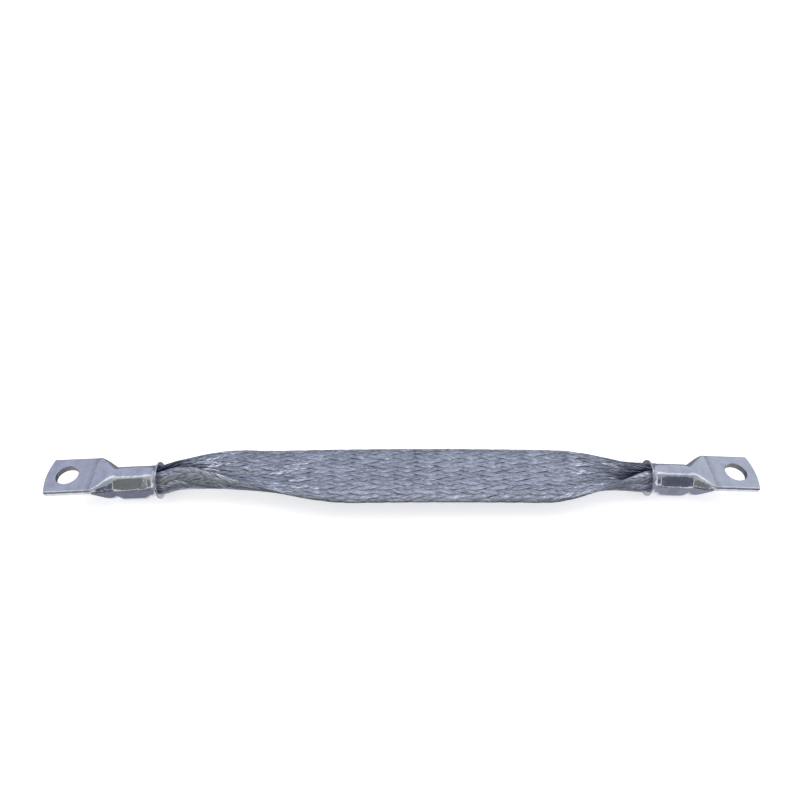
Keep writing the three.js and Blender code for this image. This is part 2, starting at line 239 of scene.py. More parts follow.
def wander(rng, rows, along, size, pitch):
    """Smooth random lines, one a row: random values up to size every pitch,
    eased between."""
    place = (along - along.min()) / pitch
    low = np.floor(place).astype(int)
    values = rng.uniform(-1, 1, (rows, low.max() + 2))
    return size * mix(values[:, low], values[:, low + 1], ease(place - low))


# Outside of the braid


def edge_wave(turn):
    """Triangle wave round the braid: 0 under its middle, 1 at the near edge,
    0 on top of its middle and -1 at the far edge."""
    wrapped = turn - np.floor(turn + 0.25)
    return np.where(wrapped < 0.25, 4 * wrapped, 2 - 4 * wrapped)


def gather_share(out, length, hold):
    """1 in the barrel, 0 where the braid lies flat: (1-t) squared times a
    rising line, for t from hold to length out from the mouth."""
    t = np.clip((out - hold) / (length - hold), 0, 1)
    return (1 - t) ** 2 * (1 + (GATHER_RISE + hold / length) * t)


def gather_at(turn, x):
    """How far the braid is rolled up, mixed between its far and near edges."""
    out = MOUTH_AT - np.abs(x)
    far, near = [
        np.where(x < 0, gather_share(out, *GATHER_LEFT[edge]), gather_share(out, *GATHER_RIGHT[edge]))
        for edge in ("far", "near")
    ]
    return mix(far, near, 0.5 + 0.5 * edge_wave(turn))


def left_bend(x):
    """1 a little way out of the left barrel, 0 inside it and along the strap:
    one smooth step up and one down."""
    out = MOUTH_AT + x
    rise = ease((out - LEFT_START) / (LEFT_PEAK - LEFT_START))
    return rise * (1 - ease((out - LEFT_PEAK) / (LEFT_RUN - LEFT_PEAK)))


def centre_side(x):
    """Place of the braid's middle line across the strap."""
    return LEFT_SHIFT * left_bend(x)


def centre_height(x):
    """Height of the braid's middle line: straight inside a tilted lug, a
    parabola between the mouths, lifted where it leaves the left barrel."""
    out = MOUTH_AT - np.abs(x)
    inside = AXIS_HEIGHT + out * math.tan(TILT)
    arch = AXIS_HEIGHT + ARCH_RISE * (1 - (x / MOUTH_AT) ** 2)
    return np.where(out < 0, inside, arch) + LEFT_LIFT * left_bend(x)


def squeezed_at(x):
    """1 where the crimp squeezes the braid, 0 from the bell outwards."""
    return ease((np.abs(x) - MOUTH_AT - BELL_LENGTH) / CRIMP_EASE)


def bundle_radius(x):
    """Of the gathered braid: the bore's less the clearance, smaller in the
    crimp, and growing by smooth steps through the mouth."""
    out = MOUTH_AT - np.abs(x) + BELL_LENGTH
    swell = BUNDLE_SWELL * ease(out / (2 * BELL_LENGTH)) + MOUTH_SWELL * ease(out / BELL_LENGTH)
    return mix(BORE_RADIUS, DIE_FLAT - TUBE_WALL, squeezed_at(x)) - CLEARANCE + swell


def flat_skin(wave, top, inset):
    """The free braid, a flat oval: half its height is the root of one less a
    power of the wave, and the near edge hangs lower by the wave's square."""
    height = (BRAID_THICKNESS / 2 - inset) * np.sqrt(np.maximum(0, 1 - wave ** OVAL_POWER))
    y = -(BRAID_WIDTH / 2 + EDGE_SPREAD - inset) * wave
    z = np.where(top, height, -height) - EDGE_DROOP * np.maximum(wave, 0) ** 2
    return y, z


def bundle_skin(wave, top, x, inset):
    """The gathered braid, a circle whose two edges meet over a crease: the
    underside goes round by the wave, and the top goes down into the crease."""
    radius = bundle_radius(x) - inset
    crease = CREASE_WIDTH / 2 + inset
    crease_angle = np.arcsin(np.minimum(WIDEST_CREASE, crease / radius))
    angle = (math.pi - crease_angle) * wave
    lip = radius * np.cos(crease_angle)
    crease_depth = mix(CREASE_DEPTH, CRIMPED_CREASE_DEPTH, squeezed_at(x))
    floor = lip - 2 * radius * crease_depth - inset
    wall = -crease * np.sign(wave) * np.minimum(1, CREASE_STEEPNESS * np.abs(wave))
    y = np.where(top, wall, -radius * np.sin(angle))
    z = np.where(top, mix(floor, lip, np.abs(wave)), -radius * np.cos(angle))
    return y, z


def skin(turn, x, inset):
    """The braid's outside, moved inwards by inset: the share of gather mixes
    the flat oval and the bundle, and the crimp's pocket holds its underside up."""
    wave = edge_wave(turn)
    wrapped = turn - np.floor(turn)
    top = (wrapped > 0.25) & (wrapped < 0.75)
    flat_y, flat_z = flat_skin(wave, top, inset)
    bundle_y, bundle_z = bundle_skin(wave, top, x, inset)
    share = gather_at(turn, x)
    lowest = -mix(BRAID_WIDTH, CRIMPED_DEPTH, squeezed_at(x))
    y = mix(flat_y, bundle_y, share) + centre_side(x)
    z = np.maximum(mix(flat_z, bundle_z, share), lowest) + centre_height(x)
    return np.stack(np.broadcast_arrays(x, y, z), axis=-1)


# Meshes


def grid_faces(rows, columns, start):
    """Quads of a grid of points whose columns close on themselves."""
    row, column = np.meshgrid(np.arange(rows - 1), np.arange(columns), indexing="ij")
    a = row * columns + column
    b = row * columns + (column + 1) % columns
    return start + np.stack([a, b, b + columns, a + columns], -1).reshape(-1, 4)


def cap_faces(ring, hub, flip):
    """Triangles from a ring of point numbers to its hub."""
    following = np.roll(ring, -1)
    hubs = np.full(len(ring), hub)
    return np.stack([hubs, following, ring] if flip else [hubs, ring, following], -1)


def shell_faces(count, rows, columns):
    """Quads and end caps of closed grids whose points follow one another, with
    the hubs of the caps, two a grid, after them all."""
    size = rows * columns
    quads, tris = [], []
    for k in range(count):
        first = k * size + np.arange(columns)
        hub = count * size + 2 * k
        quads.append(grid_faces(rows, columns, k * size))
        tris += [cap_faces(first, hub, False), cap_faces(first + size - columns, hub + 1, True)]
    return np.concatenate(quads), np.concatenate(tris)


def enclosed_volume(points, quads, tris):
    """Sum over the triangles of the box product of their corners, over six."""
    every = np.concatenate([quads[:, [0, 1, 2]], quads[:, [0, 2, 3]], tris])
    a, b, c = points[every[:, 0]], points[every[:, 1]], points[every[:, 2]]
    return np.einsum("ij,ij->i", a, np.cross(b, c)).sum() / 6


def mesh_piece(name, points, corners, starts, values=None, uv=None):
    """A smooth mesh object from points in millimetres, the corners of its faces
    in turn and each face's start among them, with point values and a UV map
    where given."""
    mesh = bpy.data.meshes.new(name)
    mesh.vertices.add(len(points))
    mesh.vertices.foreach_set("co", (points * MM).astype(np.float32).ravel())
    mesh.loops.add(len(corners))
    mesh.loops.foreach_set("vertex_index", corners)
    mesh.polygons.add(len(starts))
    mesh.polygons.foreach_set("loop_start", starts)
    mesh.update(calc_edges=True)
    mesh.polygons.foreach_set("use_smooth", np.ones(len(starts), bool))
    for key, numbers in (values or {}).items():
        layer = mesh.attributes.new(key, "FLOAT", "POINT")
        layer.data.foreach_set("value", numbers.astype(np.float32).ravel())
    if uv is not None:
        layer = mesh.uv_layers.new(name="strand")
        layer.data.foreach_set("uv", uv[corners].astype(np.float32).ravel())
    mesh.update()
    piece = bpy.data.objects.new(name, mesh)
    bpy.context.scene.collection.objects.link(piece)
    return piece


def shell_piece(name, grids, hubs=None, values=None, uv=None):
    """Closed grids of points as one mesh that faces outwards. Both ends of each
    are closed round a hub, the mean of the end ring unless hubs are given. The
    point values and UV places of a hub are 0."""
    count, rows, columns = grids.shape[:3]
    hubs = grids[:, [0, -1]].mean(axis=2) if hubs is None else hubs
    points = np.concatenate([grids.reshape(-1, 3), hubs.reshape(-1, 3)])
    quads, tris = shell_faces(count, rows, columns)
    if enclosed_volume(points, quads, tris) < 0:
        quads, tris = quads[:, ::-1], tris[:, ::-1]
    corners = np.concatenate([quads.ravel(), tris.ravel()]).astype(np.int32)
    starts = np.concatenate(
        [np.arange(len(quads)) * 4, len(quads) * 4 + np.arange(len(tris)) * 3]
    ).astype(np.int32)
    at_hubs = np.zeros(2 * count)
    values = {key: np.concatenate([v.ravel(), at_hubs]) for key, v in (values or {}).items()}
    if uv is not None:
        uv = np.concatenate([uv.reshape(-1, 2), np.zeros((2 * count, 2))])
    return mesh_piece(name, points, corners, starts, values, uv)


# Strands


def ribbon_section():
    """Places across a ribbon from -1 to 1, 1 on each wire's ridge, and 1 on the
    underside: two points a wire over the top, then three along the bottom."""
    top = np.linspace(-1, 1, 2 * WIRES + 1)
    bottom = np.array([0.8, 0.0, -0.8])
    ridge = (np.arange(len(top)) % 2).astype(float)
    return (
        np.concatenate([top, bottom]),
        np.concatenate([ridge, np.zeros(len(bottom))]),
        np.concatenate([np.zeros(len(top)), np.ones(len(bottom))]),
    )


def ribbon_turns(hand, number, x, q, fill, rng):
    """Where each point of a ribbon lies round the braid: its number over the
    strand count plus its place along X over the lay, one way or the other, with
    a small random sway and width."""
    count = len(number)
    sway = wander(rng, count, x, *SWAY_SLOW) + wander(rng, count, x, *SWAY_QUICK)
    width = fill * (1 + wander(rng, count, x, *FILL_WANDER))
    beside = (number + 0.5 + sway[..., None] + q * width[..., None] / 2) / STRANDS
    return beside + hand * x[None, :, None] / LAY_LENGTH


def weave_phase(hand, number, along, q):
    """Where each point is in the weave of two over and two under: its crossing
    is its number plus twice its turns, and over-floats have their middle at 2
    on a circle of four crossings."""
    middle = 0.5 if hand > 0 else 2.5
    crossing = number + hand * 2 * STRANDS / LAY_LENGTH * along + q / 2
    return number + crossing - middle + 2


def over_share(from_middle):
    """1 where a ribbon lies over the others, 0 where it dips under them, and
    half a cosine between."""
    fall = np.clip((from_middle - OVER_FULL) / (OVER_NONE - OVER_FULL), 0, 1)
    return 0.5 + 0.5 * np.cos(math.pi * fall)


def float_tones(phase, rng):
    """One random number from 0 to 1 for every over-float."""
    place = np.floor(phase / 4).astype(int)
    place -= place.min()
    tones = rng.uniform(0, 1, (len(phase), place.max() + 1))
    return tones[np.arange(len(phase))[:, None, None], place]


def weave_dip(turn, along, q, over, relief):
    """How deep the weave and the ribbon's own crown put a point: the relief
    where it goes under, less of it at the edges and in the rolled bundle."""
    wave = edge_wave(turn)
    bunched = gather_at(turn, along) * wave ** 4
    dip = relief * (1 - 0.3 * bunched) * (1 - 0.65 * wave ** 8) * (1 - over)
    return dip + RIBBON_CROWN * np.abs(q) ** CROWN_POWER


def float_bow(from_middle, over, tone):
    """An over-float sinks by a square towards its ends, and lies a little high
    or low by its tone."""
    belly = FLOAT_BELLY * np.minimum(from_middle, 1) ** 2
    return (belly - FLOAT_LIFT * (tone - 0.5)) * over


def ribbon_unevenness(count, x, q, rng):
    """Smooth random lines: each ribbon leans, and each wire in it has its level."""
    columns = q.shape[-1]
    lean = wander(rng, count, x, *RIBBON_LEAN)[..., None] * q
    level = wander(rng, count * columns, x, *WIRE_LEVEL).reshape(count, columns, len(x))
    return lean + level.transpose(0, 2, 1)


def strand_values(turn, along, dip, tone, relief):
    """Point values from 0 to 1: depth in the weave or under the near edge, which
    sets painted shade, the float's tone, the share of gather, and the painted
    shade on the bundle's far limb."""
    wave, rolled = edge_wave(turn), gather_at(turn, along)
    # painted shade under the near edge, less where the bundle is rolled up
    edge_shade = 0.7 * np.maximum(wave, 0) ** 12 * (1 - rolled * wave ** 4)
    return {
        "depth": np.clip(dip / relief + edge_shade, 0, 1),
        "tone": tone,
        "rolled": rolled,
        "shade": rolled * (1 - 0.78 * ease(0.5 + 2 * wave)),
    }


def strand_piece(name, hand, picks, sizes, rng):
    """The picked strands of one hand: ribbons laid along the skin, as deep
    below it as their dip, bow, unevenness and wires' ridges say."""
    x = np.linspace(-REACH, REACH, STRAND_STEPS + 1)
    across, ridge, under = ribbon_section()
    number = picks[:, None, None].astype(float)
    along, q = x[None, :, None], across[None, None, :]
    turn = ribbon_turns(hand, number, x, q, sizes.fill, rng)
    phase = weave_phase(hand, number, along, q)
    tone = float_tones(phase, rng)
    from_middle = np.abs(phase % 4 - 2)
    over = over_share(from_middle)
    dip = weave_dip(turn, along, q, over, sizes.relief)
    depth = dip + float_bow(from_middle, over, tone)
    depth = depth + ribbon_unevenness(len(picks), x, q, rng)
    depth = depth - sizes.wire_relief * ridge * (1 - under) + RIBBON_THICKNESS * under
    inset = np.clip(depth, 0, BRAID_THICKNESS / 2 - LEAST_HALF)
    points = skin(turn, along, inset)
    values = strand_values(turn, along, dip, tone, sizes.relief)
    places = np.broadcast_arrays((q + 1) / 2, along / BRAID_WIDTH + number * 3.7, turn)[:2]
    return shell_piece(name, points, values=values, uv=np.stack(places, -1))


def core_piece(name):
    """The wires deep in the weave, painted dark as shade: the skin again, further in."""
    x = np.linspace(-REACH + CORE_SETBACK, REACH - CORE_SETBACK, CORE_ROWS)
    column = np.arange(CORE_COLUMNS)
    inset = CORE_INSET + CORE_RIDGE * np.cos(math.pi * column)
    points = skin(column[None, :] / CORE_COLUMNS, x[:, None], inset[None, :])
    hubs = np.array([[end, 0, AXIS_HEIGHT - CORE_HUB_DROP] for end in x[[0, -1]]])
    return shell_piece(name, points[None], hubs)


# Loose wires


def wire_piece(name, centres, radius):
    """Round wires along lines of points: rings across the line's tangent, drawn
    in to a blunt tip at both ends."""
    tangent = np.gradient(centres, axis=1)
    tangent /= np.linalg.norm(tangent, axis=-1, keepdims=True)
    steady = np.where(np.abs(tangent[..., 2:]) > 0.9, [1.0, 0, 0], [0, 0, 1.0])
    side = np.cross(tangent, steady)
    side /= np.linalg.norm(side, axis=-1, keepdims=True)
    up = np.cross(side, tangent)
    angle = 2 * math.pi * np.arange(WIRE_SIDES)[:, None] / WIRE_SIDES
    ring = np.cos(angle) * side[..., None, :] + np.sin(angle) * up[..., None, :]
    thick = np.ones(centres.shape[1])
    thick[[0, -1]] = WIRE_TIP
    points = centres[:, :, None, :] + radius * thick[None, :, None, None] * ring
    return shell_piece(name, points, centres[:, [0, -1]])


def stray_lines(rng, count):
    """Broken wires that stand a little proud: each follows a strand's path on
    the skin, sways sideways by a sine and lifts by half a sine."""
    t = np.linspace(0, 1, WIRE_STEPS)[None, :]
    start = rng.uniform(*STRAY_START, (count, 1))
    length = rng.uniform(*STRAY_LENGTH, (count, 1))
    hand = rng.choice([-1.0, 1.0], (count, 1))
    first_turn = rng.uniform(*STRAY_TURN, (count, 1))
    lift = rng.uniform(*STRAY_LIFT, (count, 1))
    sway = rng.uniform(*STRAY_SWAY, (count, 1))
    x = start + length * t
    turn = first_turn + hand * (x - start) / LAY_LENGTH + sway * np.sin(2 * math.pi * t)
    return skin(turn, x, 0.12 - lift * np.sin(math.pi * t) ** 1.2)


def tuft_lines(rng, count):
    """Wires that missed the barrel: each starts on the bundle at the mouth and
    curls back over it, up by a sine and sideways by a square."""
    t = np.linspace(0, 1, WIRE_STEPS)[None, :]
    start = MOUTH_AT - rng.uniform(*TUFT_START, (count, 1))
    length = rng.uniform(*TUFT_LENGTH, (count, 1))
    first_turn = rng.uniform(*TUFT_TURN, (count, 1))
    lift = rng.uniform(*TUFT_LIFT, (count, 1))
    sway = rng.uniform(*TUFT_SWAY, (count, 1))
    turn = first_turn + sway * t ** 2
    return skin(turn, start - length * t, 0.2 - lift * np.sin(math.pi * t * 0.8))


# Lug


def round_section(radius):
    """A rounded rectangle that is a circle. Flat is the distance from the axis
    to the die's two leaning faces, here too far out to touch it."""
    names = ("half", "top", "bottom", "top_corner", "bottom_corner")
    return {**dict.fromkeys(names, radius), "flat": 2 * radius}


def blend_sections(a, b, t):
    """Section a where t is 0, section b where t is 1."""
    return {key: mix(a[key], b[key], t) for key in a}


PALM_SECTION = {
    "half": PALM_WIDTH / 2,
    "top": PALM_FACE_RISE,
    "bottom": -PALM_BACK_RISE,
    "top_corner": PALM_EDGE_RADIUS,
    "bottom_corner": PALM_EDGE_RADIUS,
    "flat": PALM_WIDTH,
}

CRIMP_SECTION = {
    "half": CRIMP_HALF_WIDTH,
    "top": BARREL_RADIUS,
    "bottom": LAND_DEPTH,
    "top_corner": CRIMP_TOP_CORNER,
    "bottom_corner": LAND_CORNER,
    "flat": DIE_FLAT,
}


def slope_section(at):
    """From the round barrel to the flat palm by a smooth step, wider by a sine,
    with a small step up just before the fold."""
    t = np.clip((at - BARREL_LENGTH) / SLOPE_LENGTH, 0, 1)
    barrel = round_section(BARREL_RADIUS * np.ones_like(at))
    section = blend_sections(barrel, PALM_SECTION, ease(t))
    section["half"] = mix(BARREL_RADIUS, PALM_WIDTH / 2, np.sin(t * math.pi / 2))
    step = COIN_STEP * np.clip((FOLD_AT - at) / COIN_LENGTH, 0, 1) * ease(t * 3)
    section["top"] = section["top"] + step
    section["bottom"] = section["bottom"] + step
    return section


def lug_section(at):
    """The tube's outside at each distance from the mouth: a bell that opens by
    a square, a barrel squared by the die, a slope and the flat palm."""
    opened = 1 - np.clip((at - BELL_LIP) / (BELL_LENGTH - BELL_LIP), 0, 1)
    bell = round_section(mix(BARREL_RADIUS, BELL_RADIUS, opened ** 2))
    crimped = np.minimum(ease((at - CRIMP_START) / LAND_EASE), ease((CRIMP_END - at) / LAND_EASE))
    barrel = blend_sections(round_section(BARREL_RADIUS * np.ones_like(at)), CRIMP_SECTION, crimped)
    slope = slope_section(at)
    zones = [at < BELL_LENGTH, at <= BARREL_LENGTH]
    section = {key: np.select(zones, [bell[key], barrel[key]], slope[key]) for key in bell}
    bite = np.minimum(ease((at - DIE_START) / DIE_EDGE), ease((DIE_END - at) / DIE_EDGE))
    section["flat"] = np.where(bite > 0, DIE_FACE + DIE_DROP * (1 - bite), section["flat"])
    return section


def lip_round(at):
    """How much the rim is rounded off: a quarter circle over its first part."""
    return LIP_ROUND * (1 - np.sqrt(1 - np.clip(1 - at / LIP_ROUND, 0, 1) ** 2))


def outside_section(at):
    """The tube's outside with its rim rounded off."""
    section = lug_section(at)
    for key in ("half", "top", "bottom", "top_corner", "bottom_corner"):
        section[key] = section[key] - lip_round(at)
    return section


def wall_at(at):
    """The tube's wall, drawn thinner where the bell was flared."""
    return TUBE_WALL - RIM_THINNING * ease((RIM_RUN - at) / RIM_RUN)


def bore_section(at):
    """The outside one wall further in, flared where the rim is rounded."""
    section = lug_section(at)
    wall = wall_at(at) - lip_round(at)
    for key in ("half", "top", "bottom", "flat"):
        section[key] = section[key] - wall
    for key in ("top_corner", "bottom_corner"):
        section[key] = np.maximum(section[key] - wall, TUBE_WALL / 4)
    return section


def rounded_rings(section, corner_steps=12, straight_steps=5):
    """Rings of a rounded rectangle: four quarter circles joined by straight runs."""
    half, top, bottom = section["half"], section["top"], section["bottom"]
    limit = np.minimum(half, (top + bottom) / 2) - CORNER_FLAT
    upper = np.minimum(section["top_corner"], limit)
    lower = np.minimum(section["bottom_corner"], limit)
    corners = (
        (half - upper, top - upper, upper),
        (upper - half, top - upper, upper),
        (lower - half, lower - bottom, lower),
        (half - lower, lower - bottom, lower),
    )
    arcs = []
    for k, (y, z, radius) in enumerate(corners):
        angle = (k + np.linspace(0, 1, corner_steps + 1)) * math.pi / 2
        circle = np.stack([np.cos(angle), np.sin(angle)], -1)
        arcs.append(np.stack([y, z], -1)[:, None] + radius[:, None, None] * circle)
    run = np.linspace(0, 1, straight_steps + 2)[1:-1]
    parts = []
    for arc, following in zip(arcs, arcs[1:] + arcs[:1]):
        parts += [arc, mix(arc[:, -1:], following[:, :1], run[None, :, None])]
    return np.concatenate(parts, axis=1)


def section_rings(at, section):
    """Rings of the tube, pressed in by a share of what reaches past the die's
    two leaning faces, along their slope."""
    y, z = np.moveaxis(rounded_rings(section), -1, 0)
    outwards, upwards = math.sin(DIE_LEAN), math.cos(DIE_LEAN)
    reach = np.abs(y) * outwards + z * upwards - section["flat"][:, None]
    excess = DIE_BITE * np.maximum(0, reach)
    x = np.broadcast_to(at[:, None], y.shape)
    return np.stack([x, y - np.sign(y) * outwards * excess, z - upwards * excess], -1)


def spin_piece(name, profile, at, sides):
    """A closed turned shape about an upright axis: rows of radius and height."""
    angle = 2 * math.pi * np.arange(sides) / sides
    radius, height = np.array(profile).T
    x = at + radius[:, None] * np.cos(angle)
    y = radius[:, None] * np.sin(angle)
    z = np.broadcast_to(height[:, None], x.shape)
    return shell_piece(name, np.stack([x, y, z], -1)[None])


def punch_piece(name, face_height, growth):
    """A tapered block with softened corners, its face down at a height over
    the axis: four quarter circles a level, set further out level by level.
    Growth makes it larger all round."""
    reach = POCKET_DEPTH + growth
    flare = POCKET_DRAFT * reach / POCKET_DEPTH
    above = ((reach, flare), (reach + 0.1, flare + 0.22), (reach + TUBE_WALL, flare + 1.6))
    level, spread = np.array([*PUNCH_EDGE, *above]).T[:, :, None]
    corner = PUNCH_CORNER + growth / 2
    quarter = np.linspace(0, math.pi / 2, 7)
    angle = (np.arange(4)[:, None] * math.pi / 2 + quarter).ravel()
    side_x = np.repeat([1, -1, -1, 1], len(quarter))
    side_y = np.repeat([1, 1, -1, -1], len(quarter))
    out = spread + growth - POCKET_DRAFT - corner
    x = POCKET_AT + side_x * (POCKET_LENGTH / 2 + out) + corner * np.cos(angle)
    y = side_y * (POCKET_WIDTH / 2 + out) + corner * np.sin(angle)
    z = np.broadcast_to(face_height - level, x.shape)
    return shell_piece(name, np.stack([x, y, z], -1)[None])


def bent_line(start, pull, end, steps=14):
    """A quadratic curve: its three points weigh (1-t) squared, 2t(1-t) and t
    squared."""
    t = np.linspace(0, 1, steps)[:, None]
    return (1 - t) ** 2 * np.array(start) + 2 * t * (1 - t) * np.array(pull) + t ** 2 * np.array(end)


def tip_outline():
    """The cropped end seen from above: a small corner, a long bow and a small
    corner, closed far outside the palm."""
    half = PALM_WIDTH / 2
    corner_at = TIP_AT - TIP_BOW
    shoulder_at = corner_at + TIP_BOW * 0.1
    near, far = (shoulder_at, TIP_CORNER - half), (shoulder_at, half - TIP_CORNER)
    run_in = corner_at - TIP_CORNER
    outside, beyond = half + 3, TIP_AT + 4
    return np.concatenate([
        bent_line((run_in, -half), (corner_at, -half), near),
        bent_line(near, (TIP_AT + TIP_BOW * 0.9, 0), far)[1:],
        bent_line(far, (corner_at, half), (run_in, half))[1:],
        [(run_in, outside), (beyond, outside), (beyond, -outside), (run_in, -outside)],
    ])


def tip_piece(name):
    """What the cropping tool takes off: the outline carried up through the
    palm, and drawn in at its face to break the edge."""
    outline = tip_outline()
    height = np.array([-8.0, PALM_BACK_RISE + 0.5, PALM_FACE_RISE - 0.25, PALM_FACE_RISE + 0.02, 12.0])
    shift = -TIP_BREAK * (height > PALM_FACE_RISE)
    x = outline[:, 0] + shift[:, None]
    rings = np.stack(np.broadcast_arrays(x, outline[:, 1], height[:, None]), -1)
    hubs = np.array([[TIP_AT + 2.5, 0, end] for end in height[[0, -1]]])
    return shell_piece(name, rings[None], hubs)


def stud_piece(name):
    """The stud hole, with its edges broken."""
    r, c = STUD_HOLE / 2, HOLE_CHAMFER
    face, back = PALM_FACE_RISE, PALM_BACK_RISE
    return spin_piece(name, [
        (r + c + 2, back - 2), (r + c, back), (r, back + c),
        (r, face - c), (r + c, face), (r + c + 2, face + 2),
    ], HOLE_AT, 72)


def peep_piece(name):
    """The inspection hole through the land's side of the wall, drilled at the
    barrel's end, with its edge broken."""
    r, skin_at = PEEP_HOLE / 2, -BARREL_RADIUS
    return spin_piece(name, [
        (r + 0.9, skin_at - 0.8), (r + 0.12, skin_at + 0.02), (r, skin_at + 0.2), (r, 0.0),
    ], BARREL_LENGTH, 32)


def bore_piece(name, at):
    """The tube's inside up to where the slope closes it, less the bulge that
    the punched pocket leaves in it, and the bulge itself."""
    open_at = at[at < BARREL_LENGTH + 0.82 * SLOPE_LENGTH]
    section = bore_section(np.concatenate([[0.0], open_at]))
    rings = section_rings(np.concatenate([[-1.0], open_at]), section)
    bore = shell_piece(name, rings[None])
    bulge = punch_piece("lug_bulge", POCKET_DEPTH + TUBE_WALL - LAND_DEPTH, TUBE_WALL)
    cut(bore, bulge)
    return bore, bulge


def lug_stations():
    """Distances from the mouth of the tube's rings, closer where it turns."""
    spans = (
        (BELL_LIP, BELL_LENGTH, 12),
        (DIE_START, DIE_START + DIE_EDGE, 7),
        (CRIMP_START, CRIMP_START + LAND_EASE, 12),
        (CRIMP_START + LAND_EASE, CRIMP_END - LAND_EASE, 8),
        (CRIMP_END - LAND_EASE, BARREL_LENGTH, 12),
        (BARREL_LENGTH, DIE_END - DIE_EDGE, 4),
        (DIE_END - DIE_EDGE, DIE_END, 7),
        (DIE_END, FOLD_AT - COIN_LENGTH, 18),
        (FOLD_AT - COIN_LENGTH, FOLD_AT, 5),
        (FOLD_AT, TIP_AT + 1, 10),
    )
    rim = [0, 0.05, 0.11, 0.17, LIP_ROUND]
    at = np.concatenate([rim, *(np.linspace(*span) for span in spans)])
    return np.unique(np.round(at, 4))


def cut(body, tool):
    """The body less the tool, as a modifier on the body."""
    step = body.modifiers.new(tool.name, "BOOLEAN")
    step.operation = "DIFFERENCE"
    step.object = tool
    step.solver = "EXACT"


def finished_mesh(body):
    """The body with its modifiers done: points in millimetres, the corners of
    the faces in turn and each face's start among them."""
    bpy.context.view_layer.update()
    solid = body.evaluated_get(bpy.context.evaluated_depsgraph_get())
    mesh = solid.to_mesh()
    points = np.zeros(len(mesh.vertices) * 3, np.float32)
    mesh.vertices.foreach_get("co", points)
    corners = np.zeros(len(mesh.loops), np.int32)
    mesh.loops.foreach_get("vertex_index", corners)
    starts = np.zeros(len(mesh.polygons), np.int32)
    mesh.polygons.foreach_get("loop_start", starts)
    solid.to_mesh_clear()
    return points.reshape(-1, 3).astype(float) / MM, corners, starts


def lug_body():
    """The finished lug in its own place: the mouth at 0, the palm along X and
    the barrel's axis at no height. The tube's outside, less its bore, pocket,
    two holes and cropped end."""
    at = lug_stations()
    body = shell_piece("lug_outside", section_rings(at, outside_section(at))[None])
    bore, bulge = bore_piece("lug_bore", at)
    tools = [
        bore,
        punch_piece("lug_pocket", POCKET_DEPTH - LAND_DEPTH, 0),
        stud_piece("lug_stud"),
        peep_piece("lug_peep"),
        tip_piece("lug_tip"),
    ]
    for tool in tools:
        cut(body, tool)
    finished = finished_mesh(body)
    for spent in [*tools, bulge, body]:
        bpy.data.objects.remove(spent)
    return finished


def lug_piece(name, side, local, corners, starts):
    """The lug turned down by its tilt and set at its end of the strap."""
    u, v, w = local.T
    c, s = math.cos(TILT), math.sin(TILT)
    x = side * (MOUTH_AT + u * c + w * s)
    z = AXIS_HEIGHT - u * s + w * c
    world = np.stack([x, side * v, z], -1)
    # point values of painted shade in the lug's recesses and along its fold
    piece = mesh_piece(name, world, corners, starts, {"recess_shade": lug_recess_shade(local)})
    piece.data.set_sharp_from_angle(angle=SHARP_ANGLE)
    return piece


def depth_in_section(u, v, w):
    """How far a point lies inside the tube's outside: the signed distance to a
    rounded rectangle."""
    section = lug_section(u)
    middle = (section["top"] - section["bottom"]) / 2
    tall = (section["top"] + section["bottom"]) / 2
    corner = np.minimum(section["top_corner"], tall)
    across = np.abs(v) - (section["half"] - corner)
    upright = np.abs(w - middle) - (tall - corner)
    beyond = np.hypot(np.maximum(across, 0), np.maximum(upright, 0))
    return corner - beyond - np.minimum(np.maximum(across, upright), 0)


def lug_recess_shade(local):
    """Where shade is painted onto the tin: inside the bore, in the pocket and in
    the stud hole, each a smooth step of the distance from it, and along the
    fold, by a bell curve."""
    u, v, w = local.T
    bore = ease((depth_in_section(u, v, w) / wall_at(u) - 0.3) / 0.3)
    bore = bore * (u < BARREL_LENGTH + 4)
    pocket = ease((w + LAND_DEPTH - 0.15) / 0.6) * (w < -2)
    pocket = pocket * (np.abs(u - POCKET_AT) < POCKET_LENGTH / 2 + 0.2)
    pocket = pocket * (np.abs(v) < POCKET_WIDTH / 2 + 0.2)
    fold = 0.4 * np.exp(-((u - FOLD_AT) / 0.35) ** 2) * (w > 3)
    hole = ease((STUD_HOLE / 2 + 0.12 - np.hypot(u - HOLE_AT, v)) / 0.05)
    return np.clip(bore + pocket + fold + hole, 0, 1)


# Material nodes


def new_material(name):
    """A material with its node tree and its Principled shader."""
    material = bpy.data.materials.new(name)
    material.use_nodes = True
    tree = material.node_tree
    return material, tree, tree.nodes["Principled BSDF"]


def add_node(tree, kind, **settings):
    """A node of a kind, with its settings."""
    made = tree.nodes.new(kind)
    for key, value in settings.items():
        setattr(made, key, value)
    return made


def feed(tree, socket, value):
    """Set a socket to a number or a colour, or link another socket to it."""
    if isinstance(value, (int, float)):
        socket.default_value = value
    elif isinstance(value, tuple):
        socket.default_value = (*value, 1)
    else:
        tree.links.new(value, socket)


def math_node(tree, operation, a, b, clamp=False):
    """A Math node on two inputs, each a socket or a number."""
    made = add_node(tree, "ShaderNodeMath", operation=operation, use_clamp=clamp)
    feed(tree, made.inputs[0], a)
    feed(tree, made.inputs[1], b)
    return made.outputs[0]


def ramp_node(tree, factor, *stops):
    """A colour ramp from (place, colour) stops."""
    made = add_node(tree, "ShaderNodeValToRGB")
    tree.links.new(factor, made.inputs[0])
    elements = made.color_ramp.elements
    while len(elements) < len(stops):
        elements.new(0.5)
    for element, (place, colour) in zip(elements, stops):
        element.position = place
        element.color = (*colour, 1)
    return made.outputs[0]


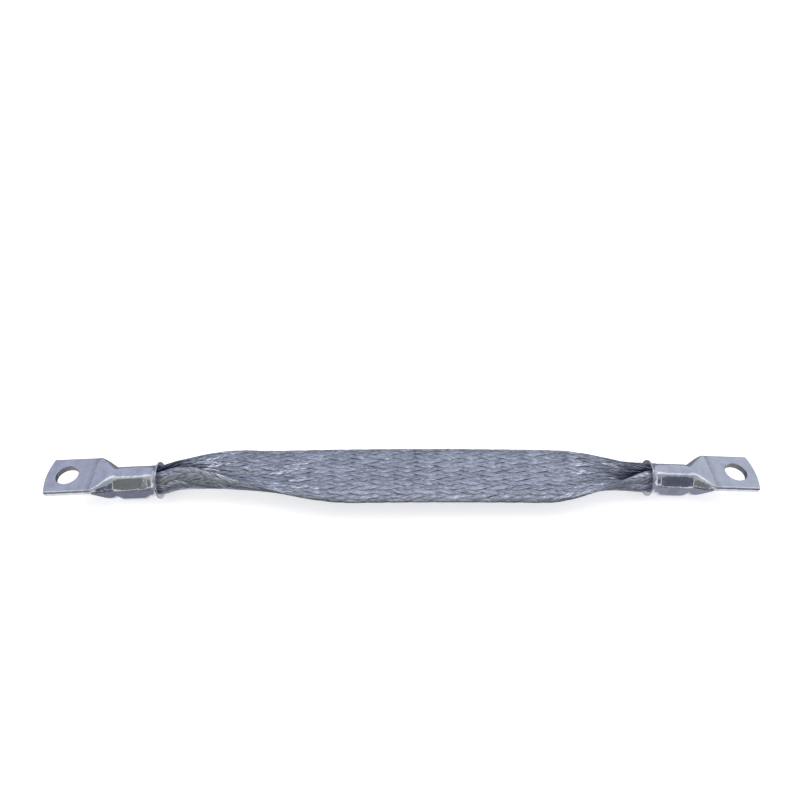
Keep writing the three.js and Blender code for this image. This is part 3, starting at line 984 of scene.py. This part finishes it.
def range_node(tree, value, low, high, to_low=0.0, to_high=1.0):
    """A value carried from one range to another and held within it. The ends
    may be sockets."""
    made = add_node(tree, "ShaderNodeMapRange")
    ends = {"Value": value, "From Min": low, "From Max": high, "To Min": to_low, "To Max": to_high}
    for key, end in ends.items():
        feed(tree, made.inputs[key], end)
    return made.outputs[0]


def noise_node(tree, vector, scale, detail=3.0, roughness=0.5, distortion=0.0):
    """Noise from 0 to 1 on a vector; the scale may be a socket."""
    made = add_node(tree, "ShaderNodeTexNoise")
    tree.links.new(vector, made.inputs["Vector"])
    feed(tree, made.inputs["Scale"], scale)
    made.inputs["Detail"].default_value = detail
    made.inputs["Roughness"].default_value = roughness
    made.inputs["Distortion"].default_value = distortion
    return made.outputs["Fac"]


def mix_colour(tree, factor, a, b, mode="MIX"):
    """A Mix node on colours; the factor and both colours may be sockets."""
    made = add_node(tree, "ShaderNodeMix", data_type="RGBA", blend_type=mode)
    for socket, value in ((made.inputs["Factor"], factor), (made.inputs[6], a), (made.inputs[7], b)):
        feed(tree, socket, value)
    return made.outputs[2]


def attribute(tree, name):
    """A piece's own point value."""
    return add_node(tree, "ShaderNodeAttribute", attribute_name=name).outputs["Fac"]


def object_place(tree):
    """The point's place on its piece."""
    return add_node(tree, "ShaderNodeTexCoord").outputs["Object"]


def bump(tree, height, distance, strength, before=None):
    """A normal tilted by a height, on top of the bump before it."""
    made = add_node(tree, "ShaderNodeBump")
    made.inputs["Distance"].default_value = distance
    made.inputs["Strength"].default_value = strength
    tree.links.new(height, made.inputs["Height"])
    if before is not None:
        tree.links.new(before, made.inputs["Normal"])
    return made.outputs[0]


def shades(colour, factor):
    """A colour times a factor, held below 1."""
    return tuple(min(1, factor * c) for c in colour)


def new_group(name, inputs, outputs):
    """A shader node group from a vector and numbers to numbers, with its two
    end nodes."""
    group = bpy.data.node_groups.new(name, "ShaderNodeTree")
    group.interface.new_socket("Vector", in_out="INPUT", socket_type="NodeSocketVector")
    for key, value in inputs.items():
        socket = group.interface.new_socket(key, in_out="INPUT", socket_type="NodeSocketFloat")
        socket.default_value = value
    for key in outputs:
        group.interface.new_socket(key, in_out="OUTPUT", socket_type="NodeSocketFloat")
    return group, add_node(group, "NodeGroupInput"), add_node(group, "NodeGroupOutput")


def tin_group():
    """Tin plate, shared by the lugs and the wires: soft clouds, fine grain and
    short scratches, from 0 to 1 each, and a height for the bump."""
    name = "Tin plate"
    if name in bpy.data.node_groups:
        return bpy.data.node_groups[name]
    sizes = {"Cloud Scale": 220.0, "Grain Scale": 2600.0}
    group, inside, outside = new_group(name, sizes, ("Clouds", "Grain", "Scratches", "Height"))
    vector = inside.outputs["Vector"]
    clouds = noise_node(group, vector, inside.outputs["Cloud Scale"], 4.0, 0.6, 0.4)
    grain = noise_node(group, vector, inside.outputs["Grain Scale"], 2.0, 0.6)
    lines = add_node(group, "ShaderNodeMapping")
    lines.inputs["Rotation"].default_value = (0.3, 0.2, 0.5)
    lines.inputs["Scale"].default_value = (220, 3600, 1500)
    group.links.new(vector, lines.inputs["Vector"])
    streak = noise_node(group, lines.outputs[0], 1.0, 2.0, 0.4, 0.3)
    scratches = range_node(group, streak, 0.66, 0.74)
    height = math_node(group, "ADD", math_node(group, "MULTIPLY", clouds, 0.8),
                       math_node(group, "MULTIPLY", grain, 0.2))
    height = math_node(group, "SUBTRACT", height, math_node(group, "MULTIPLY", scratches, 0.12))
    results = {"Clouds": clouds, "Grain": grain, "Scratches": scratches, "Height": height}
    for key, value in results.items():
        group.links.new(value, outside.inputs[key])
    return group


def tin_node(tree, vector, cloud_scale, grain_scale):
    """The tin plate group at two scales."""
    made = add_node(tree, "ShaderNodeGroup", node_tree=tin_group())
    tree.links.new(vector, made.inputs["Vector"])
    made.inputs["Cloud Scale"].default_value = cloud_scale
    made.inputs["Grain Scale"].default_value = grain_scale
    return made.outputs


def seen_or_mirrored(tree):
    """1 for what the camera sees, straight, in metal or through glass."""
    rays = add_node(tree, "ShaderNodeLightPath").outputs
    seen = math_node(tree, "MAXIMUM", rays["Is Camera Ray"], rays["Is Glossy Ray"])
    return math_node(tree, "MAXIMUM", seen, rays["Is Transmission Ray"])


# Materials


def lug_material(finish):
    """Bright tin plate over copper: soft clouds, faint dents from the die, and
    painted shade in the bore, the pocket, the stud hole and along the fold."""
    material, tree, shader = new_material("tinned_lug")
    place = object_place(tree)
    tin = tin_node(tree, place, 240.0, 2600.0)
    base = tuple(finish.lug_colour)
    colour = mix_colour(tree, range_node(tree, tin["Clouds"], 0.35, 0.7), base, shades(base, 0.80))
    # painted shade in the bore, the pocket, the stud hole and the fold darkens the tin and makes it
    # rougher
    recess_shade = math_node(tree, "MULTIPLY", attribute(tree, "recess_shade"), 0.75)
    tree.links.new(mix_colour(tree, recess_shade, colour, RECESS_SHADE_COLOUR), shader.inputs["Base Color"])
    least = finish.lug_roughness
    rough = range_node(tree, tin["Clouds"], 0.3, 0.75, least, least + 0.12)
    rough = math_node(tree, "ADD", rough, math_node(tree, "MULTIPLY", tin["Scratches"], 0.15))
    rough = math_node(tree, "ADD", rough, math_node(tree, "MULTIPLY", recess_shade, 0.3), clamp=True)
    tree.links.new(rough, shader.inputs["Roughness"])
    shader.inputs["Metallic"].default_value = 1.0
    dents = noise_node(tree, place, 230.0, 1.0, 0.5, 0.8)
    ripple = noise_node(tree, place, 760.0, 1.0, 0.5, 1.2)
    normal = bump(tree, dents, 0.0003, finish.lug_dents)
    normal = bump(tree, ripple, 0.0001, 0.6, normal)
    normal = bump(tree, tin["Height"], 0.00004, 0.35, normal)
    tree.links.new(normal, shader.inputs["Normal"])
    return material


def wire_streaks(tree):
    """Noise drawn out along the strands, with one streak or so a wire."""
    along = add_node(tree, "ShaderNodeMapping")
    along.inputs["Scale"].default_value = (0.75 * WIRES, 11, 1)
    tree.links.new(add_node(tree, "ShaderNodeTexCoord").outputs["UV"], along.inputs["Vector"])
    return noise_node(tree, along.outputs[0], 1.0, 2.0, 0.6)


def wire_shades(tree, base, streak, rolled):
    """The strands' colour: a tone a wire and a float, with painted shade on the
    bundle's far limb and painted glints where the bundle opens out."""
    tone = math_node(tree, "ADD", math_node(tree, "MULTIPLY", attribute(tree, "tone"), 0.10),
                     math_node(tree, "MULTIPLY", streak, 0.90))
    colour = ramp_node(tree, tone, (0.32, shades(base, 0.45)), (0.50, base), (0.66, shades(base, 1.6)))
    # painted shade on the bundle's far limb
    shade = range_node(tree, attribute(tree, "shade"), 0.05, 0.80)
    colour = mix_colour(tree, shade, colour, ROLLED_SHADE, "MULTIPLY")
    # painted glints on the bright floats where the bundle opens out
    opening = math_node(tree, "MULTIPLY", range_node(tree, rolled, 0.02, 0.12),
                        range_node(tree, rolled, 0.95, 0.55, 0.6, 1.0))
    bright = math_node(tree, "MULTIPLY", range_node(tree, attribute(tree, "tone"), 0.62, 0.72, 0.0, 0.95),
                       range_node(tree, streak, 0.50, 0.60))
    return mix_colour(tree, math_node(tree, "MULTIPLY", opening, bright), colour, WIRE_GLINT)


def warm_patches(tree, place):
    """Patches where the near edge rolls over by the left barrel."""
    split = add_node(tree, "ShaderNodeSeparateXYZ")
    tree.links.new(place, split.inputs[0])
    there = math_node(tree, "MULTIPLY", range_node(tree, split.outputs["X"], -0.066, -0.082),
                      range_node(tree, split.outputs["Y"], -0.0005, -0.0035))
    patch = range_node(tree, noise_node(tree, place, 420.0, 1.0), 0.50, 0.62, 0.0, 0.4)
    return math_node(tree, "MULTIPLY", there, patch)


def strand_material(finish):
    """Tinned wire: each float and each wire its own tone, painted shade low in
    the weave and under the near edge, and a warmer cast where the near edge
    rolls over."""
    material, tree, shader = new_material("tinned_strands")
    place = object_place(tree)
    streak = wire_streaks(tree)
    base = tuple(finish.strand_colour)
    rolled = attribute(tree, "rolled")
    colour = wire_shades(tree, base, streak, rolled)
    most = range_node(tree, rolled, 0.0, 0.4, 0.45, 0.75)
    # painted shade: the strands darken low in the weave and under the near edge
    low = range_node(tree, attribute(tree, "depth"), 0.15, 0.95, 0.0, most)
    colour = mix_colour(tree, low, colour, shades(base, 0.38))
    colour = mix_colour(tree, warm_patches(tree, place), colour, WARM_CAST)
    tree.links.new(colour, shader.inputs["Base Color"])
    middle = finish.strand_roughness
    rough = range_node(tree, streak, 0.3, 0.7, middle + 0.08, middle - 0.06)
    tree.links.new(rough, shader.inputs["Roughness"])
    shader.inputs["Metallic"].default_value = 1.0
    tin = tin_node(tree, place, 330.0, 3200.0)
    normal = bump(tree, streak, 0.00012, 0.8)
    normal = bump(tree, tin["Height"], 0.00003, 0.4, normal)
    tree.links.new(normal, shader.inputs["Normal"])
    return material


def core_material(finish):
    """The same wire deep in the weave, dull and in shade."""
    material, tree, shader = new_material("deep_wires")
    tin = tin_node(tree, object_place(tree), 500.0, 3000.0)
    base = tuple(finish.strand_colour)
    # painted shade: the deep wires' colour is a darkened copy of the strands'
    colour = ramp_node(tree, tin["Clouds"], (0.3, shades(base, 0.15)), (0.7, shades(base, 0.35)))
    tree.links.new(colour, shader.inputs["Base Color"])
    shader.inputs["Metallic"].default_value = 0.8
    shader.inputs["Roughness"].default_value = 0.6
    tree.links.new(bump(tree, tin["Height"], 0.0001, 0.6), shader.inputs["Normal"])
    return material


def wire_material(finish):
    """A single wire, painted brighter than the strands as a highlight."""
    material, tree, shader = new_material("loose_wire")
    tin = tin_node(tree, object_place(tree), 900.0, 5000.0)
    base = tuple(finish.strand_colour)
    # painted highlight: the loose wire is coloured brighter than the strands
    colour = ramp_node(tree, tin["Clouds"], (0.3, shades(base, 1.2)), (0.7, shades(base, 1.55)))
    tree.links.new(colour, shader.inputs["Base Color"])
    tree.links.new(range_node(tree, tin["Clouds"], 0.3, 0.7, 0.2, 0.35), shader.inputs["Roughness"])
    shader.inputs["Metallic"].default_value = 1.0
    return material


def floor_material():
    """Pale floor: white to the camera and in the metal, shaded by the shadow."""
    material, tree, shader = new_material("pale_floor")
    specks = noise_node(tree, object_place(tree), 40.0, 2.0)
    colour = ramp_node(tree, specks, (0.3, (0.90, 0.90, 0.905)), (0.7, (0.93, 0.93, 0.935)))
    tree.links.new(colour, shader.inputs["Base Color"])
    shader.inputs["Roughness"].default_value = 0.9
    shader.inputs["Emission Color"].default_value = (1, 1, 1, 1)
    glow = math_node(tree, "MULTIPLY", seen_or_mirrored(tree), FLOOR_GLOW)
    tree.links.new(glow, shader.inputs["Emission Strength"])
    return material


# Settings


class BraidSettings(bpy.types.PropertyGroup):
    """Sizes of the weave."""

    fill: bpy.props.FloatProperty(
        name="Strand fill", default=1.06, min=0.5, max=1.2, subtype="FACTOR",
        description="How much of the space between neighbours a strand takes up",
    )
    relief: bpy.props.FloatProperty(
        name="Weave relief", default=0.46, min=0.2, max=1.0,
        description="How far a strand dips under the others, in millimetres",
    )
    wire_relief: bpy.props.FloatProperty(
        name="Wire relief", default=0.05, min=0.0, max=0.15,
        description="How far each wire stands out of its strand, in millimetres",
    )
    wire_diameter: bpy.props.FloatProperty(
        name="Wire diameter", default=0.00016, min=0.00005, max=0.001, precision=5,
        subtype="DISTANCE", unit="LENGTH", description="Of a loose wire",
    )
    stray_count: bpy.props.IntProperty(
        name="Stray wires", default=46, min=0, max=400,
        description="Broken wires that stand a little proud of the weave",
    )
    tuft_count: bpy.props.IntProperty(
        name="Tuft wires", default=12, min=0, max=60,
        description="Wires that missed the right barrel",
    )
    seed: bpy.props.IntProperty(
        name="Seed", default=7, description="Of the small irregularities of strands and wires",
    )


class FinishSettings(bpy.types.PropertyGroup):
    """Colours and finishes."""

    strand_colour: bpy.props.FloatVectorProperty(
        name="Strands", default=(0.352, 0.368, 0.428), size=3, min=0, max=1, subtype="COLOR",
        description="Colour of the tinned wires",
    )
    strand_roughness: bpy.props.FloatProperty(
        name="Strand roughness", default=0.36, min=0.05, max=1, subtype="FACTOR",
        description="Roughness of the tinned wires",
    )
    lug_colour: bpy.props.FloatVectorProperty(
        name="Lugs", default=(0.55, 0.56, 0.62), size=3, min=0, max=1, subtype="COLOR",
        description="Colour of the lugs' tin plate",
    )
    lug_roughness: bpy.props.FloatProperty(
        name="Lug roughness", default=0.10, min=0.02, max=1, subtype="FACTOR",
        description="Least roughness of the lugs' tin plate",
    )
    lug_dents: bpy.props.FloatProperty(
        name="Lug dents", default=0.35, min=0, max=1, subtype="FACTOR",
        description="Strength of the shallow dents that the die leaves",
    )


class StageSettings(bpy.types.PropertyGroup):
    """Floor, lamps and world."""

    floor_size: bpy.props.FloatProperty(
        name="Floor size", default=6.0, min=0.5, subtype="DISTANCE", unit="LENGTH",
        description="Side of the square floor",
    )
    fill_light: bpy.props.FloatProperty(
        name="Fill light", default=0.75, min=0, max=2,
        description="Strength of the world as it lights the object",
    )
    top_lamp: bpy.props.FloatProperty(
        name="Top lamp", default=1.4, min=0, max=50, subtype="POWER", unit="POWER",
        description="Power of the soft lamp overhead",
    )


# Camera


def camera_axes():
    """The camera's right, forward and up: turned by its yaw, then pitched down,
    then rolled, each a plane rotation."""
    cp, sp = math.cos(PITCH_DOWN), math.sin(PITCH_DOWN)
    cy, sy = math.cos(-YAW), math.sin(-YAW)
    cr, sr = math.cos(ROLL), math.sin(ROLL)
    yaw = np.array([[cy, -sy, 0], [sy, cy, 0], [0, 0, 1]])
    pitch = np.array([[1, 0, 0], [0, cp, -sp], [0, sp, cp]])
    roll = np.array([[cr, 0, sr], [0, 1, 0], [-sr, 0, cr]])
    return roll @ pitch @ yaw


class BRAID_OT_camera(bpy.types.Operator):
    """Set the camera at the photograph's viewing angle"""

    bl_idname = "braid.camera"
    bl_label = "Camera"

    def execute(self, context):
        """Link the camera and make it the scene's."""
        right, forward, up = camera_axes()
        data = bpy.data.cameras.new("camera")
        data.lens = LENS
        data.sensor_width = SENSOR
        data.clip_start = CLIP_START
        camera = bpy.data.objects.new("camera", data)
        turned = Matrix(np.stack([right, up, -forward], axis=1).tolist()).to_4x4()
        turned.translation = [c * MM for c in CAMERA_PLACE]
        camera.matrix_world = turned
        context.scene.collection.objects.link(camera)
        context.scene.camera = camera
        return {"FINISHED"}


# Strap


def weave_strands(sizes, finish, rng):
    """Both hands' strands, in two pieces each."""
    material = strand_material(finish)
    pieces = []
    for name, hand in (("strands_right_hand", 1), ("strands_left_hand", -1)):
        for part, picks in enumerate(np.arange(STRANDS).reshape(2, -1), 1):
            piece = strand_piece(f"{name}_{part}", hand, picks, sizes, rng)
            piece.data.materials.append(material)
            pieces.append(piece)
    return pieces


def lay_loose_wires(sizes, finish, rng):
    """The stray wires and the tuft by the right barrel, as one piece."""
    lines = np.concatenate([stray_lines(rng, sizes.stray_count), tuft_lines(rng, sizes.tuft_count)])
    wires = wire_piece("loose_wires", lines, sizes.wire_diameter / MM / 2)
    wires.data.materials.append(wire_material(finish))
    return wires


class BRAID_OT_strap(bpy.types.Operator):
    """Weave the strap: its strands, the wires deep in it and its loose wires"""

    bl_idname = "braid.strap"
    bl_label = "Woven strap"

    def execute(self, context):
        sizes, finish = context.scene.braid_sizes, context.scene.braid_finish
        rng = np.random.default_rng(sizes.seed)
        pieces = weave_strands(sizes, finish, rng)
        core = core_piece("deep_wires")
        core.data.materials.append(core_material(finish))
        pieces += [core, lay_loose_wires(sizes, finish, rng)]
        for piece in pieces:
            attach(piece, "root")
            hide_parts("braid")
        return {"FINISHED"}


class BRAID_OT_lugs(bpy.types.Operator):
    """Press and punch the two lugs"""

    bl_idname = "braid.lugs"
    bl_label = "Lugs"

    def execute(self, context):
        """Make one lug and set it at both ends."""
        material = lug_material(context.scene.braid_finish)
        body = lug_body()
        for side, end in ((-1, "left"), (1, "right")):
            piece = lug_piece(f"lug_{end}_formed", side, *body)
            if len(piece.data.polygons) < 2000:
                raise RuntimeError(f"the {end} lug lost its faces in the cuts")
            piece.data.materials.append(material)
            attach(piece, "root")
            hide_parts(f"lug_{end}")
        return {"FINISHED"}


# Stage

# Cards that the metal mirrors: name, size, place along X, lean from overhead
# towards the near side in degrees, distance, turn about X in degrees, and colour
# times strength at its left and right ends
CARDS = (
    ("far_softbox", (2.8, 1.25), 0.0, -44, 0.95, -44, (0.63, 0.67, 0.83), (0.77, 0.83, 0.94)),
    ("far_low_flag", (2.8, 0.22), 0.0, -84, 0.97, -84, (0.30, 0.31, 0.36), (0.30, 0.31, 0.36)),
    ("far_floor_flag", (0.8, 0.40), 0.0, -89.9, 0.206, 0, (0.28, 0.29, 0.34), (0.28, 0.29, 0.34)),
    ("overhead_card", (2.8, 1.05), 0.0, 22, 1.05, 22, (0.75, 0.77, 0.74), (0.54, 0.57, 0.64)),
    ("overhead_strip", (2.4, 0.28), 0.0, -4, 0.90, -4, (1.45, 1.5, 1.5), (1.7, 1.7, 1.75)),
    ("near_flag_left", (0.62, 0.82), -0.56, 61, 0.80, 61, (0.22, 0.24, 0.215), (0.28, 0.305, 0.28)),
    ("near_flag_right", (0.62, 0.64), 0.56, 67, 0.80, 67, (0.14, 0.15, 0.20), (0.16, 0.17, 0.23)),
    ("near_floor_flag", (0.242, 0.146), 0.0, 89.8, 0.097, 0, (0.13, 0.13, 0.16), (0.19, 0.19, 0.25)),
    ("near_floor_strip", (0.242, 0.017), 0.0, 89.0, 0.015, 0, (0.32, 0.33, 0.40), (0.44, 0.46, 0.54)),
)


def sheet_object(name, width, depth):
    """A level rectangle about the origin, linked to the scene."""
    w, d = width / 2, depth / 2
    mesh = bpy.data.meshes.new(name)
    mesh.from_pydata([(-w, -d, 0), (w, -d, 0), (w, d, 0), (-w, d, 0)], [], [(0, 1, 2, 3)])
    sheet = bpy.data.objects.new(name, mesh)
    bpy.context.scene.collection.objects.link(sheet)
    return sheet


def card_material(name, width, left, right):
    """Light that goes evenly from the left colour to the right one over the
    middle half of the card."""
    material, tree, shader = new_material(name)
    split = add_node(tree, "ShaderNodeSeparateXYZ")
    tree.links.new(object_place(tree), split.inputs[0])
    across = range_node(tree, split.outputs["X"], -width / 4, width / 4)
    strength = max(left + right)
    ends = [tuple(c / strength for c in colour) for colour in (left, right)]
    tree.links.new(mix_colour(tree, across, *ends), shader.inputs["Emission Color"])
    shader.inputs["Base Color"].default_value = (0, 0, 0, 1)
    shader.inputs["Specular IOR Level"].default_value = 0.0
    shader.inputs["Emission Strength"].default_value = strength
    return material


def hang_card(name, size, along, lean, distance, turn, left, right):
    """A plain glowing sheet that hangs off the strap or lies by it. It shows
    only as a reflection."""
    sheet = sheet_object(name, *size)
    angle = math.radians(lean)
    sheet.location = (along, -distance * math.sin(angle), distance * math.cos(angle))
    sheet.rotation_euler = (math.radians(turn), 0, 0)
    sheet.data.materials.append(card_material(name, size[0], left, right))
    sheet.visible_camera = False
    sheet.visible_shadow = False
    sheet.visible_diffuse = False


def hang_lamp(power):
    """A soft lamp overhead that the metal doesn't mirror."""
    data = bpy.data.lights.new("top_lamp", "AREA")
    data.shape = "RECTANGLE"
    data.size, data.size_y = LAMP_SIZE
    data.energy = power
    lamp = bpy.data.objects.new("top_lamp", data)
    lamp.location = LAMP_PLACE
    lamp.rotation_euler = [math.radians(angle) for angle in LAMP_TURN]
    lamp.visible_glossy = False
    bpy.context.scene.collection.objects.link(lamp)


def pale_world(fill_light):
    """White to the camera and in the metal, and a plain fill light otherwise."""
    world = bpy.data.worlds.new("pale_world")
    world.use_nodes = True
    tree = world.node_tree
    background = tree.nodes["Background"]
    background.inputs["Color"].default_value = (1, 1, 1, 1)
    strength = range_node(tree, seen_or_mirrored(tree), 0.0, 1.0, fill_light, 1.0)
    tree.links.new(strength, background.inputs["Strength"])
    return world


class BRAID_OT_stage(bpy.types.Operator):
    """Lay the floor and set the lamps, the cards and the world"""

    bl_idname = "braid.stage"
    bl_label = "Stage"

    def execute(self, context):
        """Make all that isn't the object."""
        scene = context.scene
        stage = scene.braid_stage
        floor = sheet_object("floor", stage.floor_size, stage.floor_size)
        floor.data.materials.append(floor_material())
        hang_lamp(stage.top_lamp)
        for facts in CARDS:
            hang_card(*facts)
        scene.world = pale_world(stage.fill_light)
        scene.view_settings.view_transform = "Standard"
        return {"FINISHED"}


# Sidebar and start


class BRAID_PT_sidebar(bpy.types.Panel):
    """Lists the strap's sizes, finishes and steps"""

    bl_idname = "BRAID_PT_sidebar"
    bl_label = "Busbar braid"
    bl_space_type = "VIEW_3D"
    bl_region_type = "UI"
    bl_category = "Braid"

    def draw(self, context):
        """One box for each group of settings, then a button for each step."""
        scene = context.scene
        for group in (scene.braid_sizes, scene.braid_finish, scene.braid_stage):
            box = self.layout.box()
            for key in group.__annotations__:
                box.prop(group, key)
        for operator in STEPS:
            self.layout.operator(operator.bl_idname)


STEPS = (BRAID_OT_camera, BRAID_OT_strap, BRAID_OT_lugs, BRAID_OT_stage)
CLASSES = (BraidSettings, FinishSettings, StageSettings, *STEPS, BRAID_PT_sidebar)


def register():
    """Register the classes and hang the settings on the scene."""
    for cls in CLASSES:
        bpy.utils.register_class(cls)
    bpy.types.Scene.braid_sizes = bpy.props.PointerProperty(type=BraidSettings)
    bpy.types.Scene.braid_finish = bpy.props.PointerProperty(type=FinishSettings)
    bpy.types.Scene.braid_stage = bpy.props.PointerProperty(type=StageSettings)


def unregister():
    """Take the settings off the scene and unregister the classes."""
    del bpy.types.Scene.braid_sizes
    del bpy.types.Scene.braid_finish
    del bpy.types.Scene.braid_stage
    for cls in reversed(CLASSES):
        bpy.utils.unregister_class(cls)


def main():
    """Register the add-on and take its steps in order."""
    register()
    bpy.ops.braid.camera()
    bpy.ops.braid.strap()
    bpy.ops.braid.lugs()
    bpy.ops.braid.stage()


if __name__ == "__main__":
    main()
